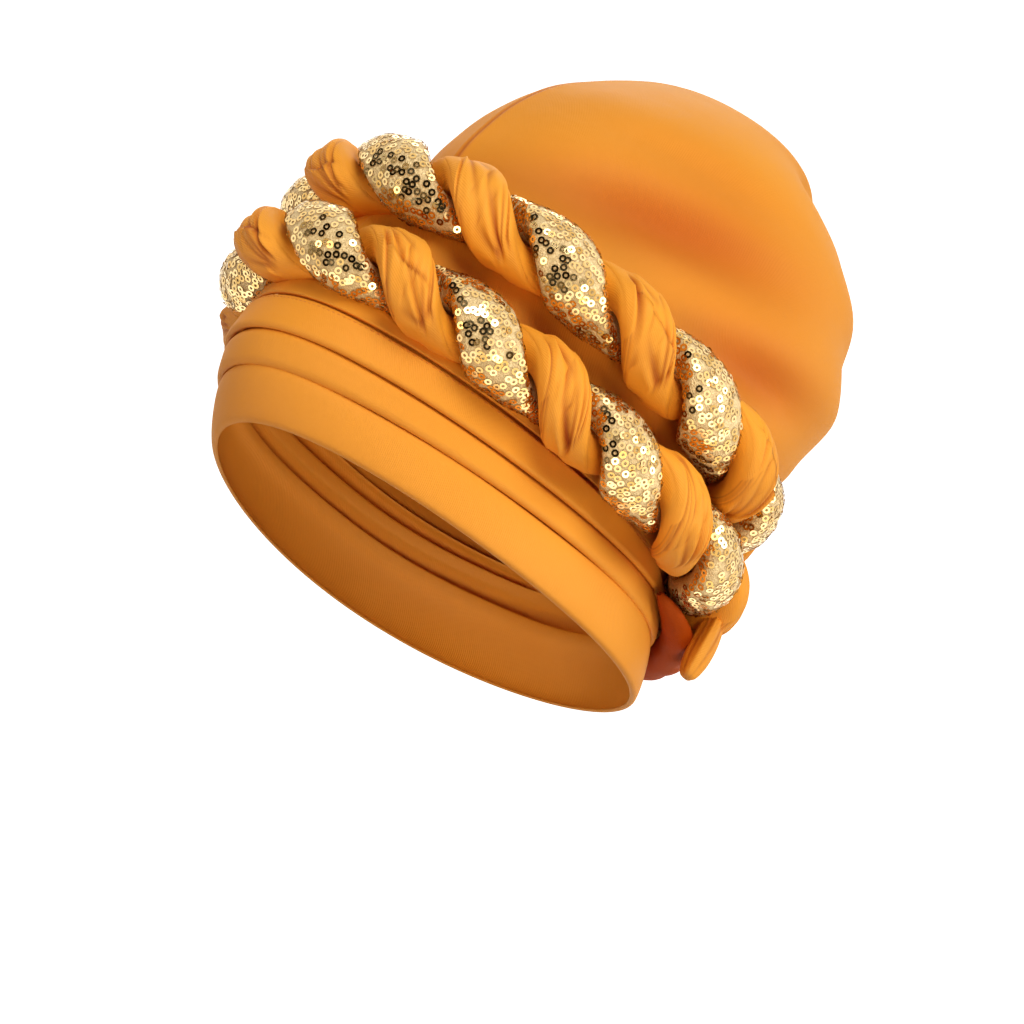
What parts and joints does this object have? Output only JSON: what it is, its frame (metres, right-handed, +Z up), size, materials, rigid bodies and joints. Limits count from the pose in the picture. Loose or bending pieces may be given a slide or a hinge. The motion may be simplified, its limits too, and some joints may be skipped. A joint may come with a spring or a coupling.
{
  "type": "turban hat",
  "caption": "Pre-tied soft turban hat: a pleated band, a tall leaning crown and two thick ropes, each twisted from a cloth strand and a sequin strand, worn on the head.",
  "frame": {"origin": "middle of the head opening, in the plane of the band's lower edge", "axes": "+Z up as the hat is worn, -Y towards the face, +X towards the wearer's left; the opening's plane slopes 36.8 degrees down from the forehead to the nape"},
  "size_m": [0.2524, 0.3354, 0.2852],
  "materials": {
    "orange_cloth": "smooth satin knit",
    "padded_orange_cloth": "smooth satin knit, padded and gathered",
    "gold_sequin_cloth": "pale net covered with small gold ring sequins, padded"
  },
  "bodies": {
    "root": {"band": "orange_cloth", "lower_pleat": "orange_cloth", "upper_pleat": "orange_cloth", "crown_left_panel": "orange_cloth", "crown_right_panel": "orange_cloth", "nape_pouch": "orange_cloth", "lower_rope_cloth_strand": "padded_orange_cloth", "lower_rope_sequin_strand": "gold_sequin_cloth", "upper_rope_cloth_strand": "padded_orange_cloth", "upper_rope_sequin_strand": "gold_sequin_cloth", "rope_tail": "padded_orange_cloth"}
  },
  "joints": []
}
